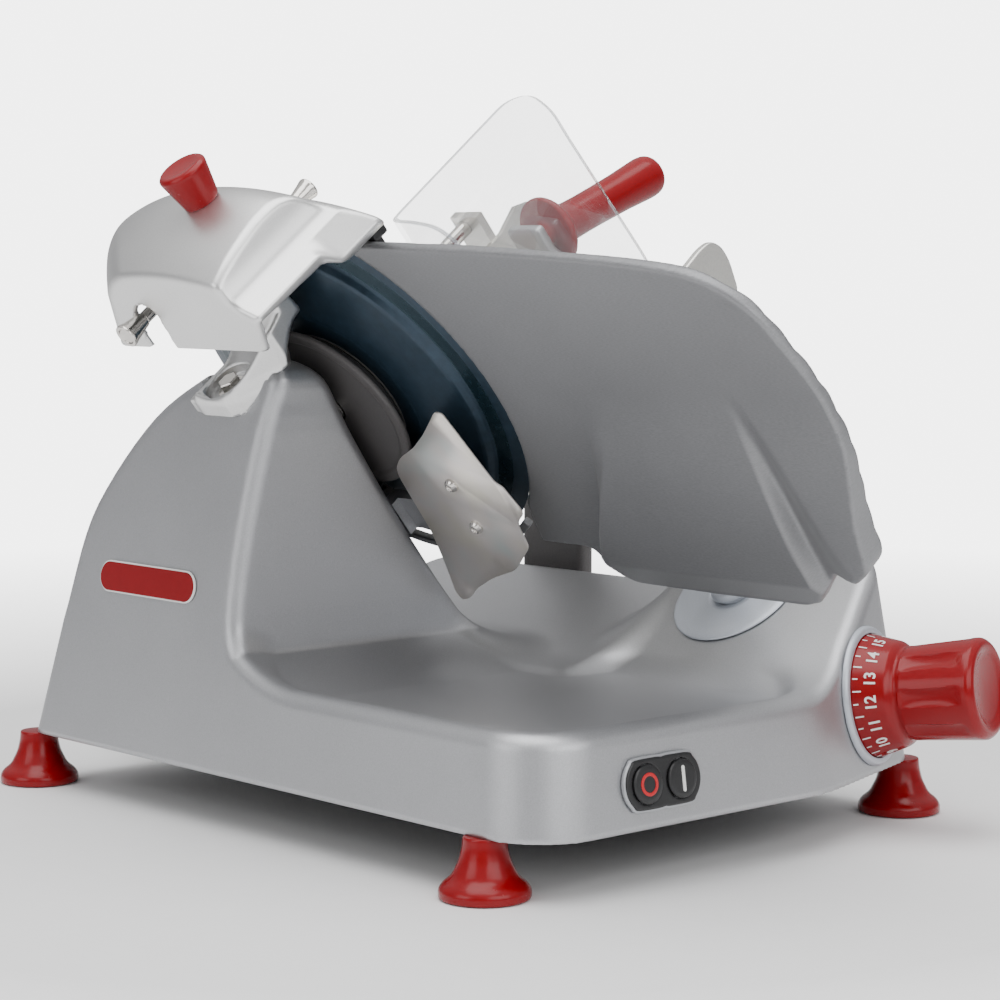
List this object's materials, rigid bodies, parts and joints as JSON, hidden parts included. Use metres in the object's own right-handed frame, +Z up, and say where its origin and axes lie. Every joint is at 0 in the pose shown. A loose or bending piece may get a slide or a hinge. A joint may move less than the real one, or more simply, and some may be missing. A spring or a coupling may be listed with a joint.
{
  "type": "deli meat slicer",
  "caption": "Gravity-feed deli slicer with a tilted round blade, sliding product carriage with clear hand guard, thickness gauge with dial knob, and a built-in sharpener.",
  "frame": {"origin": "on the ground at the centre of the rectangle of the four feet", "axes": "+X to the product side, -Y towards the operator, +Z up; the carriage runs along Y and the blade is tilted 39 degrees about Y"},
  "size_m": [0.437, 0.6451, 0.4169],
  "materials": {
    "cast_aluminium": "fine bead-blasted, lacquered casting",
    "bright_aluminium": "satin-polished casting",
    "gauge_aluminium": "dark anodised with fine brushing",
    "pale_aluminium": "pale anodised sheet",
    "blade_steel": "hard-chromed, ground, reflecting dark surroundings",
    "stainless": "bright stainless sheet with a faint heat tint",
    "polished_steel": "nickel-plated and polished",
    "red_plastic": "deep red gloss",
    "black_plastic": "satin black",
    "grey_plastic": "dark grey matte",
    "pale_plastic": "pale grey satin",
    "clear_plastic": "clear polycarbonate",
    "rubber": "black rubber",
    "stone": "fine abrasive, matte",
    "board_green": "circuit board lacquer"
  },
  "bodies": {
    "base": {"base_casting": "cast_aluminium", "bottom_cover": "black_plastic", "foot_front_left": "red_plastic", "foot_front_right": "red_plastic", "foot_back_left": "red_plastic", "foot_back_right": "red_plastic", "badge_plate": "red_plastic", "motor_can": "grey_plastic", "drive_belt": "rubber", "blade_bearing": "polished_steel", "hub_shroud": "grey_plastic", "blade_cover_plate": "stainless", "blade_guard_ring": "bright_aluminium", "deflector_plate": "stainless", "deflector_bracket": "cast_aluminium", "deflector_screw_upper": "polished_steel", "deflector_screw_lower": "polished_steel", "belt_cover": "grey_plastic", "sharpener_bracket": "bright_aluminium", "stone_yoke": "black_plastic", "gauge_guide_rod": "polished_steel", "dial_ring": "pale_plastic", "switch_bezel": "black_plastic", "slide_rod": "polished_steel", "control_board": "board_green", "cable_gland": "black_plastic", "power_cable": "rubber"},
    "blade": {"blade": "blade_steel", "blade_pulley": "grey_plastic", "blade_shaft": "polished_steel"},
    "motor_rotor": {"motor_pulley": "grey_plastic"},
    "gauge": {"gauge_plate": "gauge_aluminium", "gauge_bracket": "cast_aluminium", "gauge_post": "pale_plastic", "post_disc": "pale_plastic"},
    "thickness_knob": {"thickness_knob": "red_plastic", "thickness_cam_shaft": "polished_steel"},
    "carriage": {"product_table": "pale_aluminium", "front_fence": "pale_aluminium", "back_wall": "pale_aluminium", "hand_guard": "clear_plastic", "guard_screw_near": "polished_steel", "guard_screw_far": "polished_steel", "carriage_arm": "grey_plastic", "slide_block": "cast_aluminium", "slide_bush": "stainless", "pusher_rod": "polished_steel"},
    "carriage_lock": {"carriage_lock_knob": "red_plastic"},
    "pusher_slider": {"pusher_bush": "polished_steel"},
    "pusher": {"pusher_arm": "cast_aluminium", "pusher_plate": "pale_aluminium", "pusher_handle": "red_plastic"},
    "sharpener_cover": {"sharpener_cover": "bright_aluminium"},
    "sharpener_knob": {"sharpener_knob": "red_plastic"},
    "grinding_pin": {"grinding_pin": "polished_steel"},
    "grinding_stone": {"grinding_stone": "stone"},
    "deburring_pin": {"deburring_pin": "polished_steel"},
    "deburring_stone": {"deburring_stone": "stone"},
    "off_button": {"off_button": "black_plastic"},
    "on_button": {"on_button": "black_plastic"}
  },
  "joints": [
    {"name": "blade_spin", "type": "hinge", "parent": "base", "child": "blade", "pos_m": [-0.06892, 0.0227, 0.24401], "axis": [0.7771, 0, 0.6293], "continuous": true},
    {"name": "motor_spin", "type": "hinge", "parent": "base", "child": "motor_rotor", "pos_m": [-0.00872, 0.11, 0.15378], "axis": [0.7771, 0, 0.6293], "continuous": true},
    {"name": "carriage_slide", "type": "slide", "parent": "base", "child": "carriage", "axis": [0, -1, 0], "range_m": [0, 0.225]},
    {"name": "gauge_slide", "type": "slide", "parent": "base", "child": "gauge", "axis": [-0.7771, 0, -0.6293], "range_m": [0, 0.015]},
    {"name": "thickness_turn", "type": "hinge", "parent": "base", "child": "thickness_knob", "pos_m": [0.1156, -0.2261, 0.0754], "axis": [0.306, -0.9418, 0.1392], "range_deg": [0, 360]},
    {"name": "lock_turn", "type": "hinge", "parent": "carriage", "child": "carriage_lock", "pos_m": [0.184, 0.101, 0.066], "axis": [1, 0, 0], "range_deg": [0, 90]},
    {"name": "pusher_slide", "type": "slide", "parent": "carriage", "child": "pusher_slider", "axis": [-0.7771, 0, -0.6293], "range_m": [0, 0.1]},
    {"name": "pusher_swing", "type": "hinge", "parent": "pusher_slider", "child": "pusher", "pos_m": [0.06842, 0.114, 0.31276], "axis": [-0.7771, 0, -0.6293], "range_deg": [0, 100]},
    {"name": "sharpener_lift", "type": "slide", "parent": "base", "child": "sharpener_cover", "axis": [-0.6293, 0, 0.7771], "range_m": [0, 0.04]},
    {"name": "sharpener_knob_turn", "type": "hinge", "parent": "sharpener_cover", "child": "sharpener_knob", "pos_m": [-0.20673, -0.024, 0.36017], "axis": [-0.6293, 0, 0.7771], "range_deg": [0, 360]},
    {"name": "grinding_press", "type": "slide", "parent": "base", "child": "grinding_pin", "axis": [0.7771, 0, 0.6293], "range_m": [0, 0.005]},
    {"name": "grinding_spin", "type": "hinge", "parent": "grinding_pin", "child": "grinding_stone", "pos_m": [-0.15025, 0.015, 0.34285], "axis": [0.7771, 0, 0.6293], "continuous": true},
    {"name": "deburring_press", "type": "slide", "parent": "base", "child": "deburring_pin", "axis": [-0.7771, 0, -0.6293], "range_m": [0, 0.0025]},
    {"name": "deburring_spin", "type": "hinge", "parent": "deburring_pin", "child": "deburring_stone", "pos_m": [-0.13059, -0.005, 0.34719], "axis": [0.7771, 0, 0.6293], "continuous": true},
    {"name": "off_press", "type": "slide", "parent": "base", "child": "off_button", "axis": [0, 0.9903, -0.1392], "range_m": [0, 0.002]},
    {"name": "on_press", "type": "slide", "parent": "base", "child": "on_button", "axis": [0, 0.9903, -0.1392], "range_m": [0, 0.002]}
  ],
  "couplings": [
    {"joint": "thickness_turn", "follows": "gauge_slide", "rad_per_m": 418}
  ]
}
